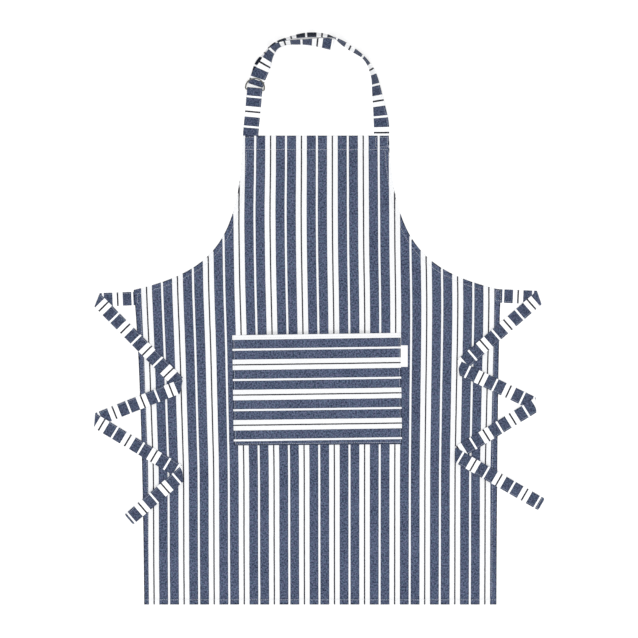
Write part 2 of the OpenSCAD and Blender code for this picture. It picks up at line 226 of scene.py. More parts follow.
def stitches(name, line, pitch=0.0034, length=0.0024, width=0.00058, height=0.0004):
    """A row of sewing: a small rounded capsule for each stitch, along a polyline of (x, y, z) points."""
    stations = [(-0.5, 0.25), (-0.36, 0.8), (0.0, 1.0), (0.36, 0.8), (0.5, 0.25)]
    sides = 6
    ring = [(math.cos(a), math.sin(a)) for a in np.linspace(0, 2 * math.pi, sides + 1)[:-1]]
    near = 0.001
    points, faces, uv = [], [], []
    line = np.asarray(line, float)
    run = run_along(line)
    count = max(1, int(run[-1] / pitch))
    for k, s in enumerate((np.arange(count) + 0.5) * run[-1] / count):
        at = (max(s - near, 0), s, min(s + near, run[-1]))
        behind, middle, ahead = np.stack([np.interp(at, run, line[:, i]) for i in range(3)], -1)
        way = unit(ahead - behind)
        side = unit(np.cross([0, 0, 1], way))
        lift = np.cross(way, side)
        skew = 0.07 * math.sin(12.9 * k + 3.1)
        way = unit(way + skew * side)
        base = len(points)
        for t, size in stations:
            centre = middle + way * t * length
            for c, h in ring:
                points.append(centre + side * c * size * width / 2 + lift * h * size * height / 2)
                uv.append((t * length, c * width / 2))
        for i in range(len(stations) - 1):
            for j in range(sides):
                a, b = base + sides * i + j, base + sides * i + (j + 1) % sides
                faces.append((a, b, b + sides, a + sides))
        last = base + sides * (len(stations) - 1)
        faces.append(tuple(base + j for j in reversed(range(sides))))
        faces.append(tuple(last + j for j in range(sides)))
    return new_mesh(name, points, faces, uv, np.zeros(len(faces)), [THREAD], sharp=80)


# ------------------------------------------------ materials
class Shading:
    """A material's node tree, with short ways to add nodes."""

    def __init__(self, name):
        self.material = bpy.data.materials.new(name)
        self.material.use_nodes = True
        self.tree = self.material.node_tree
        self.shader = self.tree.nodes["Principled BSDF"]

    def add(self, kind, inputs=(), **settings):
        node = self.tree.nodes.new(kind)
        for key, value in settings.items():
            setattr(node, key, value)
        for key, value in dict(inputs).items():
            self.feed(node.inputs[key], value)
        return node

    def feed(self, socket, value):
        if isinstance(value, bpy.types.NodeSocket):
            self.tree.links.new(value, socket)
        else:
            socket.default_value = value

    def math(self, operation, *values, clamp=False):
        node = self.tree.nodes.new("ShaderNodeMath")
        node.operation, node.use_clamp = operation, clamp
        for socket, value in zip(node.inputs, values):
            self.feed(socket, value)
        return node.outputs[0]

    def mix(self, factor, a, b, blend="MIX"):
        node = self.tree.nodes.new("ShaderNodeMix")
        node.data_type, node.blend_type = "RGBA", blend
        for name, value in (("Factor_Float", factor), ("A_Color", a), ("B_Color", b)):
            self.feed(next(s for s in node.inputs if s.identifier == name), value)
        return next(s for s in node.outputs if s.identifier == "Result_Color")

    def noise(self, vector, scale, detail=2.0, roughness=0.5):
        inputs = {"Vector": vector, "Scale": scale, "Detail": detail, "Roughness": roughness}
        return self.add("ShaderNodeTexNoise", inputs).outputs[0]

    def band(self, value, low, high):
        inputs = {"Value": value, "From Min": low, "From Max": high}
        return self.add("ShaderNodeMapRange", inputs, clamp=True).outputs[0]

    def cloth_map(self):
        """The mesh's map, whole and as its u and v."""
        uv = self.add("ShaderNodeUVMap", uv_map="UVMap").outputs["UV"]
        split = self.add("ShaderNodeSeparateXYZ", {"Vector": uv})
        return uv, split.outputs[0], split.outputs[1]

    def scaled(self, vector, *factors):
        return self.add("ShaderNodeVectorMath", {0: vector, 1: factors}, operation="MULTIPLY").outputs[0]

    def wave(self, value, length):
        return self.math("SINE", self.math("MULTIPLY", value, 2 * math.pi / length))

    def bump(self, height, strength, distance):
        inputs = {"Height": height, "Strength": strength, "Distance": distance}
        return self.add("ShaderNodeBump", inputs).outputs[0]

    def set(self, **sockets):
        for key, value in sockets.items():
            self.feed(self.shader.inputs[key.replace("_", " ")], value)


def rgb(*values):
    return (*values, 1.0)


BLUE_DARK, BLUE_LIGHT = rgb(0.004, 0.010, 0.031), rgb(0.118, 0.146, 0.231)
# The reverse's blues are painted far darker than the face's: painted shade, the dark of the neck strap's standing side
# that faces away from the light
REVERSE_SHADED_DARK, REVERSE_SHADED_LIGHT = rgb(0.002, 0.004, 0.009), rgb(0.016, 0.022, 0.040)
STRAP_DARK, STRAP_LIGHT = rgb(0.003, 0.008, 0.025), rgb(0.094, 0.117, 0.188)
LINE_DARK, LINE_LIGHT = rgb(0.006, 0.007, 0.011), rgb(0.052, 0.050, 0.066)
WHITE_DARK, WHITE_LIGHT = rgb(0.68, 0.69, 0.706), rgb(0.79, 0.795, 0.805)


def striped_cotton(name, dark=BLUE_DARK, light=BLUE_LIGHT, seam_at=None, sheen=0.12, line=0.00125, white_painted_lift=1.0):
    """Yarn-dyed cotton. The map's u runs across the stripes and v along them, in metres of cloth."""
    s = Shading(name)
    uv, u, v = s.cloth_map()
    long_yarn = s.scaled(uv, 1.0, 0.22, 1.0)
    cross_yarn = s.scaled(uv, 0.3, 1.0, 1.0)
    # Stripe edges wander by less than a yarn
    wander = s.math("MULTIPLY", s.math("SUBTRACT", s.noise(uv, 60.0, 1.0), 0.5), 0.0004)
    fray = s.math("MULTIPLY", s.math("SUBTRACT", s.noise(cross_yarn, 900.0, 0.0), 0.5), 0.0006)
    place = s.math("ADD", u, s.math("ADD", wander, fray))
    reach = s.math("PINGPONG", place, REPEAT / 2)
    wide = s.math("MULTIPLY", s.band(reach, *BLUE_FROM), s.band(reach, *BLUE_TO))
    thin = s.band(reach, REPEAT / 2 - line - LINE_SOFT, REPEAT / 2 - line + LINE_SOFT)
    # Slubs and white weft showing between the dyed warp yarns
    speckle = s.noise(long_yarn, 1400.0, 2.0, 0.6)
    slub = s.noise(uv, 330.0, 3.0, 0.65)
    shade = s.noise(uv, 25.0, 3.0)
    border = s.math("MULTIPLY", s.band(reach, 0.0036, 0.0019), 0.22)
    border = s.math("ADD", border, s.math("MULTIPLY", s.band(reach, 0.0168, 0.0185), 0.22))
    fine, coarse = s.band(speckle, 0.36, 0.64), s.band(slub, 0.40, 0.60)
    tone = s.math("ADD", s.math("MULTIPLY", fine, 0.28), s.math("MULTIPLY", coarse, 0.72))
    tone = s.math("ADD", tone, s.math("MULTIPLY", s.math("SUBTRACT", shade, 0.5), 0.45))
    tone = s.math("SUBTRACT", tone, border, clamp=True)
    blue = s.mix(tone, dark, light)
    hue = s.band(s.noise(uv, 170.0, 2.0, 0.6), 0.35, 0.65)
    blue = s.mix(1.0, blue, s.mix(hue, rgb(0.90, 1.03, 1.0), rgb(1.10, 0.97, 1.02)), "MULTIPLY")
    white = s.mix(s.band(s.noise(cross_yarn, 1100.0, 2.0), 0.3, 0.6), WHITE_DARK, WHITE_LIGHT)
    # Painted light: the white is multiplied up on the straps and ties, offsetting the shade that falls on the standing
    # neck strap
    white = s.mix(1.0, white, rgb(white_painted_lift, white_painted_lift, white_painted_lift), "MULTIPLY")
    colour = s.mix(wide, white, blue)
    colour = s.mix(thin, colour, s.mix(tone, LINE_DARK, LINE_LIGHT))
    # Twill: fine diagonal ribs over uneven yarns
    rib = s.wave(s.math("ADD", u, s.math("MULTIPLY", v, 0.7)), TWILL)
    height = s.math("ADD", s.math("MULTIPLY", rib, 0.18), speckle)
    height = s.math("ADD", height, s.math("MULTIPLY", s.noise(uv, 260.0, 3.0), 0.7))
    if seam_at is not None:
        # One row of stitching along the strap's joined edge, pulled a little into the cloth
        off = s.math("ABSOLUTE", s.math("SUBTRACT", v, seam_at))
        row = s.band(off, 0.00045, 0.00025)
        pitch = 0.0031
        dash = s.band(s.math("FRACT", s.math("DIVIDE", u, pitch)), 0.26, 0.32)
        thread = s.math("MULTIPLY", row, dash)
        colour = s.mix(thread, colour, s.mix(0.65, colour, rgb(0.40, 0.43, 0.50)))
        dip = s.band(off, 0.0, 0.0016)
        height = s.math("ADD", height, s.math("ADD", s.math("MULTIPLY", dip, 1.2), thread))
    s.set(Base_Color=colour, Roughness=0.88, Sheen_Weight=sheen, Sheen_Roughness=0.5)
    s.set(Specular_IOR_Level=sheen + 0.08, Normal=s.bump(height, 0.55, 0.0003))
    return s.material


def sewing_thread():
    s = Shading("sewing_thread")
    _, u, v = s.cloth_map()
    twist = s.wave(s.math("ADD", u, v), 0.0005)
    colour = s.mix(s.band(twist, -1.0, 1.0), rgb(0.52, 0.54, 0.59), rgb(0.72, 0.73, 0.76))
    s.set(Base_Color=colour, Roughness=0.6, Sheen_Weight=0.2, Normal=s.bump(twist, 0.5, 0.0001))
    return s.material


def label_tape():
    s = Shading("label_tape")
    uv, u, v = s.cloth_map()
    weave = s.math("MULTIPLY", s.wave(v, 0.0007), s.wave(u, 0.0007))
    colour = s.mix(s.band(s.noise(uv, 500.0, 3.0), 0.3, 0.7), rgb(0.72, 0.72, 0.72), rgb(0.80, 0.80, 0.80))
    s.set(Base_Color=colour, Roughness=0.55, Sheen_Weight=0.15, Normal=s.bump(weave, 0.4, 0.0001))
    return s.material


def ring_metal():
    s = Shading("ring_metal")
    place = s.add("ShaderNodeTexCoord").outputs["Object"]
    scratch = s.noise(s.scaled(place, 1.0, 6.0, 6.0), 700.0, 4.0, 0.7)
    # The base is painted dark: painted reflection of dark surroundings, in place of the pale plated metal's own colour
    colour = s.mix(s.noise(place, 180.0, 2.0), rgb(0.08, 0.08, 0.07), rgb(0.17, 0.17, 0.155))
    s.set(Base_Color=colour, Metallic=1.0, Roughness=s.band(scratch, -0.6, 2.2), Normal=s.bump(scratch, 0.12, 0.0002))
    return s.material


def plain_floor():
    s = Shading("floor_paper")
    place = s.add("ShaderNodeTexCoord").outputs["Object"]
    colour = s.mix(s.noise(place, 3.0, 2.0), rgb(0.95, 0.95, 0.95), rgb(0.965, 0.965, 0.965))
    s.set(Base_Color=colour, Roughness=0.9, Specular_IOR_Level=0.1)
    return s.material


STRAP_SEAM, TIE_SEAM = 0.0117, 0.0100
# On the straps and ties the thin line is wider, and the white is painted brighter: painted light that offsets the shade
# on the standing neck strap
NARROW = {"line": 0.00155, "white_painted_lift": 1.14}
FACE = striped_cotton("striped_cotton")
# The reverse materials carry painted shade in their darker blues
REVERSE_SHADED = striped_cotton("striped_cotton_reverse_shaded", REVERSE_SHADED_DARK, REVERSE_SHADED_LIGHT, sheen=0.0)
STRAP_FACE = striped_cotton("striped_strap", STRAP_DARK, STRAP_LIGHT, STRAP_SEAM, sheen=0.03, **NARROW)
STRAP_REVERSE_SHADED = striped_cotton("striped_strap_reverse_shaded", REVERSE_SHADED_DARK, REVERSE_SHADED_LIGHT, STRAP_SEAM, sheen=0.0, **NARROW)
TIE_FACE = striped_cotton("striped_tie", STRAP_DARK, STRAP_LIGHT, TIE_SEAM, **NARROW)
THREAD = sewing_thread()
TAPE = label_tape()
METAL = ring_metal()


# ------------------------------------------------ the apron's outline
def lean(y):
    return BIB_SHIFT + (BIB_Y - np.asarray(y)) / (BIB_Y - HEM_Y) * (HEM_SHIFT - BIB_SHIFT)


ARM = bezier(ARM_CURVE, np.linspace(0, 1, 241))
SIDES = {1: bezier(SIDE_CURVE, np.linspace(0, 1, 121)), -1: bezier(LEFT_SIDE_CURVE, np.linspace(0, 1, 121))}
EDGES = {side: np.concatenate([ARM, line[1:]]) for side, line in SIDES.items()}


def half_width(y, side):
    edge = EDGES[side][::-1]
    return np.interp(y, edge[:, 1], edge[:, 0])


def edge_line(half, side):
    """A half outline laid on the right (1) or left (-1), with the apron's slight lean."""
    return np.stack([side * half[:, 0] + lean(half[:, 1]), half[:, 1]], -1)


def distance_to(points, line):
    """Distance from each (x, y) to a polyline's points, which lie close together."""
    found = np.full(len(points), 1e9)
    for start in range(0, len(line), 60):
        part = line[start : start + 60]
        found = np.minimum(found, np.linalg.norm(points[:, None] - part[None], axis=2).min(1))
    return found


def stripe_place(x, y):
    """Distance across the stripes on the apron's body, from the middle of a white gap."""
    at, gap, repeat = STRIPES_DOWN[::-1].T
    return (x / MM - smooth_interp(y / MM, at, gap)) / smooth_interp(y / MM, at, repeat) * REPEAT


def tie_cover(x, y):
    """1 over a tie's sewn end at a waist corner, 0 away from it."""
    length, half, slope = 0.020, 0.0155, 0.004
    found = np.zeros(np.shape(x))
    for side, middle in ((-1, LEFT_TIE[0][1]), (1, RIGHT_TIE[0][1])):
        inwards = WAIST_HALF - length - side * x
        away = np.maximum(inwards, np.abs(y - middle) - half)
        found = np.maximum(found, smoothstep(slope, 0.0, away))
    return found


def ripples(x, y):
    """Soft, low waves of cloth laid down by hand. They stay off the pocket, the ties and the hems."""
    a = np.sin(31 * x + 9 * y + 1.7 * np.sin(6 * y + 1.0)) * np.sin(7 * y - 5 * x + 0.6)
    b = np.sin(58 * x - 24 * y + 2.2 * np.sin(11 * x + 2.0)) * np.sin(13 * y + 4 * x + 2.1)
    c = np.sin(17 * y + 12 * x + 1.3 * np.sin(19 * x))
    wave = 0.0011 * a + 0.0006 * b + 0.0007 * c + 0.0012
    beside, beyond = np.abs(x - POCKET_X) - POCKET_W / 2, np.abs(y - POCKET_MOUTH + POCKET_H / 2) - POCKET_H / 2
    pocket_edge = np.maximum(beside, beyond)
    near_tie = smoothstep(0.20, 0.24, np.abs(x)) * smoothstep(0.11, 0.07, y) * smoothstep(-0.44, -0.40, y)
    return np.maximum(wave, 0) * smoothstep(0.006, 0.04, pocket_edge) * (1 - near_tie)


def panel_top(x, y, inside):
    """Height of the body cloth's middle, higher over the hems. inside is the distance in from the side edges."""
    step = 0.0025
    raised = smoothstep(EDGE_HEM + step, EDGE_HEM, np.minimum(inside, y - HEM_Y))
    raised = np.maximum(raised, smoothstep(BIB_HEM + step, BIB_HEM, BIB_Y - y))
    raised = np.maximum(raised, tie_cover(x, y))
    open_cloth = smoothstep(0.012, 0.05, inside) * smoothstep(0.012, 0.05, y - HEM_Y)
    open_cloth = open_cloth * smoothstep(BIB_HEM, 0.07, BIB_Y - y)
    pucker = 0.00012 * np.sin(x * 520 + y * 480) * raised
    return 0.0005 + 0.0012 * raised + ripples(x, y) * open_cloth + pucker


def spaced(*stops):
    """Numbers from the first stop to the last, with each stretch's own spacing: at, step, at, step, at."""
    parts = []
    for i in range(0, len(stops) - 2, 2):
        low, step, high = stops[i : i + 3]
        parts.append(np.linspace(low, high, max(2, int(round(abs(high - low) / step)) + 1))[:-1])
    return np.concatenate([*parts, [stops[-1]]])


def body_panel():
    inset, fine, coarse = 0.0004, 0.0016, 0.004
    low = [HEM_Y + inset, fine, HEM_Y + 0.014, coarse, -0.06]
    ys = spaced(*low, 0.0025, 0.10, coarse, BIB_Y - 0.030, fine, BIB_Y - inset)
    width = 2 * WAIST_HALF
    shares = spaced(0, fine, 0.016, 0.0042, width - 0.016, fine, width) / width
    left, right = ((side * (half_width(ys, side) - inset) + lean(ys))[:, None] for side in (-1, 1))
    x = left + (right - left) * shares[None]
    y = np.broadcast_to(ys[:, None], x.shape)
    flat = np.stack([x.ravel(), y.ravel()], -1)
    inside = np.minimum(*(distance_to(flat, edge_line(EDGES[side], side)) for side in (-1, 1))).reshape(x.shape)
    mid = np.stack([x, y, panel_top(x, y, inside)], -1)
    uv = np.stack([stripe_place(x, y), y], -1)
    return cloth_grid("apron_body", mid, uv, [FACE, REVERSE_SHADED])


def turned_edge(line, inward, depth, under, level=HEM_LEVEL):
    """A hem's folded rim: over the edge by a tight round and back underneath to its depth."""
    r = (level - under) / 2
    turn = np.linspace(math.pi / 2, -math.pi / 2, 7)
    inset = r + CLOTH / 2
    section = [(0.0016, level + 0.00005), (inset, level + 0.00003)]
    section += [(inset - r * math.cos(a), under + r + r * math.sin(a)) for a in turn]
    section += [(d, under) for d in np.linspace(inset + 0.001, depth, 6)]
    section = np.array(section)
    run = run_along(section)
    mid = line[:, None, :] + inward[:, None, :] * section[None, :, :1]
    mid = np.concatenate([mid, np.broadcast_to(section[None, :, 1:], (*mid.shape[:2], 1))], -1)
    return mid, run


def hem(name, line, inward, depth, under):
    """A turned hem along the body's outline, whose stripes carry on round the fold."""
    fold = 0.0028
    mid, run = turned_edge(line, inward, depth, under)
    outside = line[:, None, :] - inward[:, None, :] * (run - fold)[None, :, None]
    uv = np.stack([stripe_place(outside[..., 0], outside[..., 1]), outside[..., 1]], -1)
    return cloth_grid(name, mid, uv, [FACE, REVERSE_SHADED])


def inward_of(line, side):
    way = unit(np.gradient(line, axis=0))
    return np.stack([way[:, 1], -way[:, 0]], -1) * side


def hems():
    made = []
    for side, word in ((-1, "left"), (1, "right")):
        arm = edge_line(ARM, side)
        made.append(hem(f"hem_armhole_{word}", arm, inward_of(arm, side), EDGE_HEM, EDGE_UNDER))
        run = edge_line(SIDES[side], side)
        made.append(hem(f"hem_side_{word}", run, inward_of(run, side), EDGE_HEM, EDGE_UNDER))
    for word, y, half, depth, way in (("bib", BIB_Y, BIB_HALF, BIB_HEM, -1), ("bottom", HEM_Y, HEM_HALF, EDGE_HEM, 1)):
        x = np.linspace(-half, half, 81) + lean(y)
        line = np.stack([x, np.full(81, y)], -1)
        made.append(hem(f"hem_{word}", line, np.tile([0.0, way], (81, 1)), depth, END_UNDER))
    return made


body = body_panel()
hem_pieces = hems()
for piece in [body, *hem_pieces]:
    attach(piece, "apron")
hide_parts("panel")


# ------------------------------------------------ sewing on the body
SEW_Z = HEM_TOP + 0.0001
# How far a row of stitches lies in from the hem's edge, and the length of a tack
ROW, TACK = 0.0088, 0.018


def inner_line(half, side, low, high):
    """A row of stitches inside the outline, kept between two heights of the apron."""
    line = edge_line(half, side)
    line = line + inward_of(line, side) * ROW
    line = line[(line[:, 1] >= low) & (line[:, 1] <= high)]
    return np.column_stack([line, np.full(len(line), SEW_Z)])


def straight_line(half, shift, y):
    return [[shift - half, y, SEW_Z], [shift + half, y, SEW_Z]]


def tack(x, y, w):
    """A rectangle of stitches, from its lower left corner."""
    return [[x, y, SEW_Z], [x + w, y, SEW_Z], [x + w, y + TACK, SEW_Z], [x, y + TACK, SEW_Z], [x, y, SEW_Z]]


def sew(node, line, body, **shape):
    """A row of stitches that rides a body and stands for a thread node of the CAD."""
    row = stitches(node.replace("thread", "stitches"), line, **shape)
    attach(row, body)
    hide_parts(node)


sewn = {
    "thread_bib_hem": straight_line(0.1342, BIB_SHIFT, BIB_Y - 0.0257),
    "thread_bottom_hem": straight_line(0.3255, HEM_SHIFT, HEM_Y + ROW),
    "thread_armhole_left": inner_line(ARM, -1, WAIST_Y, BIB_Y - BIB_HEM),
    "thread_armhole_right": inner_line(ARM, 1, WAIST_Y, BIB_Y - BIB_HEM),
    "thread_side_left": inner_line(SIDES[-1], -1, HEM_Y + EDGE_HEM, 0.020),
    "thread_side_right": inner_line(SIDES[1], 1, HEM_Y + EDGE_HEM, 0.020),
    "thread_neck_strap": tack(0.1053, BIB_Y - 0.021, 0.022),
    "thread_ring_strap": tack(-0.1378, BIB_Y - 0.021, 0.022),
    "thread_tie_left": tack(-WAIST_HALF + 0.004, LEFT_TIE[0][1] - TACK / 2, TACK / 2),
    "thread_tie_right": tack(WAIST_HALF - 0.013, RIGHT_TIE[0][1] - TACK / 2, TACK / 2),
}
for node, line in sewn.items():
    sew(node, line, "apron")


# ------------------------------------------------ pocket
def pocket_height(x, y):
    """Height of the pocket cloth's middle: flat on its sewn border and standing off the body towards its mouth."""
    from_side = POCKET_W / 2 - np.abs(x - POCKET_X)
    from_foot = y - (POCKET_MOUTH - POCKET_H)
    crown = smoothstep(0.006, 0.075, from_side) * smoothstep(0.006, 0.110, from_foot)
    slack = 0.0006 * np.sin(42 * x + 11 * y) * np.sin(23 * y + 2) * crown
    return POCKET_LEVEL + (POCKET_GAPE - 0.0008) * crown + slack


def askew(points):
    """Points turned a little about the pocket's middle, with its foot folded a hair lower at the right."""
    c, s = math.cos(POCKET_TURN), math.sin(POCKET_TURN)
    x, y = points[..., 0] - POCKET_X, points[..., 1] - POCKET_MOUTH + POCKET_H / 2
    drop = 0.001 * np.clip(2 * x / POCKET_W, -1, 1)
    y = y - drop * smoothstep(0.0045, 0.001, y + POCKET_H / 2)
    turned = [POCKET_X + c * x - s * y, POCKET_MOUTH - POCKET_H / 2 + s * x + c * y, points[..., 2]]
    return np.stack(turned, -1)


POCKET_GAPS_AT, POCKET_REPEAT = -0.0551, 0.0562


def pocket_map(across, along):
    """The cloth's map on the pocket, whose stripes run across the apron."""
    return np.stack([(across - POCKET_GAPS_AT) / POCKET_REPEAT * REPEAT, along], -1)


def pocket():
    left, foot = POCKET_X - POCKET_W / 2, POCKET_MOUTH - POCKET_H
    xs = spaced(left, 0.0015, left + 0.012, 0.004, left + POCKET_W - 0.012, 0.0015, left + POCKET_W)
    ys = spaced(foot, 0.0015, foot + 0.012, 0.004, POCKET_MOUTH - 0.012, 0.0015, POCKET_MOUTH - 0.0006)
    x, y = np.meshgrid(xs, ys)
    mid = np.stack([x, y, pocket_height(x, y)], -1)
    return cloth_grid("pocket_cloth", askew(mid), pocket_map(y, x), [FACE, REVERSE_SHADED])


def pocket_rims():
    """The folded rims of the pocket: its turned mouth hem, and the edges tucked under at the sides and foot."""
    left, foot, fold = POCKET_X - POCKET_W / 2, POCKET_MOUTH - POCKET_H, 0.0024
    xs, ys = np.linspace(left, left + POCKET_W, 91), np.linspace(foot, POCKET_MOUTH, 61)
    shapes = [
        ("pocket_mouth_hem", xs, POCKET_MOUTH, (0.0, -1.0), 0.0075),
        ("pocket_rim_left", left, ys, (1.0, 0.0), 0.006),
        ("pocket_rim_right", left + POCKET_W, ys, (-1.0, 0.0), 0.006),
        ("pocket_rim_foot", xs, foot, (0.0, 1.0), 0.006),
    ]
    made = []
    for name, x, y, inward, depth in shapes:
        line = np.stack(np.broadcast_arrays(x, y), -1)
        mid, run = turned_edge(line, np.tile(inward, (len(line), 1)), depth, POCKET_UNDER, POCKET_LEVEL)
        if name != "pocket_rim_foot":
            mid[..., 2] += pocket_height(mid[..., 0], np.minimum(mid[..., 1], POCKET_MOUTH)) - POCKET_LEVEL
        outside = line[:, None, :] - np.array(inward)[None, None, :] * (run - fold)[None, :, None]
        made.append(cloth_grid(name, askew(mid), pocket_map(outside[..., 1], outside[..., 0]), [FACE, REVERSE_SHADED]))
    return made


def on_pocket(line, step=0.004):
    """A polyline of (x, y) points cut into short steps and laid on the pocket's cloth."""
    points = []
    for a, b in zip(line[:-1], line[1:]):
        count = max(2, int(np.hypot(*(np.subtract(b, a))) / step))
        points += [np.add(a, np.subtract(b, a) * t) for t in np.linspace(0, 1, count, endpoint=False)]
    points = np.array([*points, line[-1]])
    return askew(np.column_stack([points, pocket_height(points[:, 0], points[:, 1]) + CLOTH / 2 + 0.0001]))


pocket_cloth = pocket()
rims = pocket_rims()
for piece in [pocket_cloth, *rims]:
    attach(piece, "apron")
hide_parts("pocket_panel")
left, right = POCKET_X - POCKET_W / 2 + 0.003, POCKET_X + POCKET_W / 2 - 0.003
foot, mouth, hem_row = POCKET_MOUTH - POCKET_H + 0.003, POCKET_MOUTH - 0.0012, POCKET_MOUTH - 0.0052
pocket_sewn = {
    "thread_pocket_edge": [(left, mouth), (left, foot), (right, foot), (right, mouth)],
    "thread_pocket_hem": [(left - 0.0020, hem_row), (right + 0.0020, hem_row)],
}
for node, line in pocket_sewn.items():
    sew(node, on_pocket(line), "apron")


# ------------------------------------------------ label
def label():
    """A short loop of tape, its two ends caught in the pocket's side seam."""
    low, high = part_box("label_loop")
    x0, x1, z_low, z_high = low.x - 0.0016, high.x, low.z + 0.0001, high.z - 0.0002
    r = (z_high - z_low) / 2
    turn = np.linspace(math.pi / 2, -math.pi / 2, 9)
    section = [(x, z_high) for x in np.linspace(x0, x1 - r, 8)[:-1]]
    section += [(x1 - r + r * math.cos(a), z_low + r + r * math.sin(a)) for a in turn]
    section += [(x, z_low) for x in np.linspace(x1 - r, x0, 8)[1:]]
    xs, zs = np.array(section).T
    ys = np.linspace(low.y, high.y, 21)[:, None]
    bow = 0.0004 * np.cos((ys - (low.y + high.y) / 2) / (high.y - low.y) * math.pi)
    mid = np.stack(np.broadcast_arrays(xs, ys, zs + bow * smoothstep(x0 + 0.003, x1, xs)), -1)
    uv = np.stack(np.broadcast_arrays(run_along(section), ys), -1)
    return cloth_grid("label", mid, uv, [TAPE, TAPE], thickness=0.0003)


tag = label()
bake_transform(tag)
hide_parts("label_loop")


# ------------------------------------------------ rings
def ring_path():
    """Centre line of the D: bar, small bends, legs and a half-round arc, in the ring's own plane."""
    bend = 0.0028
    quarter = np.linspace(0, math.pi / 2, 9)
    right_bend = [(RING_R - bend + bend * math.sin(a), bend - bend * math.cos(a)) for a in quarter]
    arc = [(RING_R * math.cos(a), RING_LEG + RING_R * math.sin(a)) for a in np.linspace(0, math.pi, 49)]
    left_bend = [(-x, y) for x, y in right_bend[::-1]]
    bar = [(x, 0.0) for x in np.linspace(-RING_R + bend, RING_R - bend, 13)[1:-1]]
    return np.array(right_bend + arc + left_bend + bar)


def ring(name, slope, z):
    path = ring_path()
    n, m = len(path), 20
    way = unit(np.roll(path, -1, axis=0) - np.roll(path, 1, axis=0))
    out = np.stack([way[:, 1], -way[:, 0]], -1)
    angles = np.linspace(0, 2 * math.pi, m, endpoint=False)
    flat = path[:, None, :] + out[:, None, :] * (WIRE_R * np.cos(angles))[None, :, None]
    height = np.broadcast_to((WIRE_R * np.sin(angles))[None, :, None], (n, m, 1))
    points = np.concatenate([flat, height], -1).reshape(-1, 3)
    tilt = np.array([[1, 0, 0], [0, math.cos(slope), -math.sin(slope)], [0, math.sin(slope), math.cos(slope)]])
    c, s = math.cos(RING_TURN), math.sin(RING_TURN)
    turn = np.array([[c, -s, 0], [s, c, 0], [0, 0, 1]])
    points = points @ tilt.T @ turn.T + np.array([*BAR, z])
    index = np.arange(n * m).reshape(n, m)
    a, b = index, np.roll(index, -1, axis=1)
    quads = np.stack([a, b, np.roll(b, -1, axis=0), np.roll(a, -1, axis=0)], -1).reshape(-1, 4)
    uv = np.stack(np.meshgrid(np.arange(m) / m, np.arange(n) / n), -1).reshape(-1, 2)
    return new_mesh(name, points, quads[:, ::-1], uv, np.zeros(len(quads)), [METAL], sharp=80)


for name, node, slope, z, rides in (
    ("d_ring_front", "ring_front", RING_SLOPE, FRONT_BAR_Z, "front_ring"),
    ("d_ring_rear", "ring_rear", 0.0, REAR_BAR_Z, "rear_ring"),
):
    piece = ring(name, slope, z)
    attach(piece, rides)
    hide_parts(node)


# ------------------------------------------------ neck strap
NECK_X = 0.1163
LIFT = 0.3
TURN_R, TURN_Y, SKEW = 3.2, 12.0, math.radians(-13)


def by_ring(x, y):
    """Millimetres beside and beyond the ring bar, as millimetres in the frame."""
    c, s = math.cos(RING_TURN), math.sin(RING_TURN)
    return BAR[0] / MM + x * c - y * s, BAR[1] / MM + x * s + y * c


def neck_stations():
    """x, y, height of the lower edge in millimetres, azimuth and elevation of the width direction in degrees."""
    rise = [
        [116.3, 343.7, LIFT, 0, 0], [116, 363, LIFT + 0.3, 2, 12], [112.9, 387, LIFT, 6, 34],
        [107, 424, LIFT, 9, 56], [103.5, 446, LIFT, 12, 68], [98.2, 461.6, LIFT, 22, 74],
        [91.4, 474.9, LIFT, 34, 82], [81.7, 486.8, LIFT, 46, 84], [70.2, 495.4, LIFT, 55, 80],
        [57.3, 503.4, LIFT, 60, 76], [43, 513.2, LIFT, 62, 79],
        [26, 523.2, LIFT, 72, 94], [5.6, 527.4, LIFT, 86, 106], [-24, 527.6, LIFT, 93, 108],
        [-52, 522.8, LIFT, 105, 101], [-77, 513.8, LIFT, 120, 102], [-91.1, 502.7, LIFT, 136, 104],
        [-98.8, 491, LIFT, 150, 112], [-105.8, 474.5, LIFT, 161, 152],
    ]
    # Through the rings at a slant: distance beyond the turn, height and elevation
    turned = math.degrees(RING_TURN + SKEW) + 180
    near = [(18, LIFT, 178), (10, LIFT, 180), (5, LIFT, 180)]
    half_turn = np.radians([0, 45, 90, 135, 180])
    near += [(-TURN_R * math.sin(a), LIFT + TURN_R - TURN_R * math.cos(a), 180) for a in half_turn]
    near += [(5, LIFT + 2 * TURN_R, 180), (11, LIFT + 2 * TURN_R + 0.6, 180)]
    beyond = [by_ring(1.4 - d * math.sin(SKEW), TURN_Y + d * math.cos(SKEW)) for d, *_ in near]
    turn = [[*place, z, turned, el] for place, (_, z, el) in zip(beyond, near)]
    tail = [
        [-108.8, 457, 9.6, 160, 199], [-99.6, 472.6, 19, 152, 221], [-92.2, 489.2, 22, 148, 239],
        [-80.6, 504.5, 20, 133, 251], [-63.2, 511.8, 10, 111, 259], [-43, 514, 2, 97, 257],
        [-22, 514.3, LIFT, 90, 253],
        [-3, 513.8, LIFT, 84, 241], [14, 512, LIFT, 80, 230], [25.6, 509.8, LIFT, 79, 227],
    ]
    return np.array(rise + turn + tail)


def catmull_rom(stations, spans):
    """A smooth curve through the stations, with that many steps to a span."""
    p = np.concatenate([stations[:1], stations, stations[-1:]])
    rows = []
    for i in range(len(stations) - 1):
        a, b, c, d = p[i : i + 4]
        for t in np.arange(spans) / spans:
            straight = 2 * b + t * (c - a)
            rows.append(0.5 * (straight + t * t * (2 * a - 5 * b + 4 * c - d) + t**3 * (3 * b - a - 3 * c + d)))
    return np.array([*rows, stations[-1]])


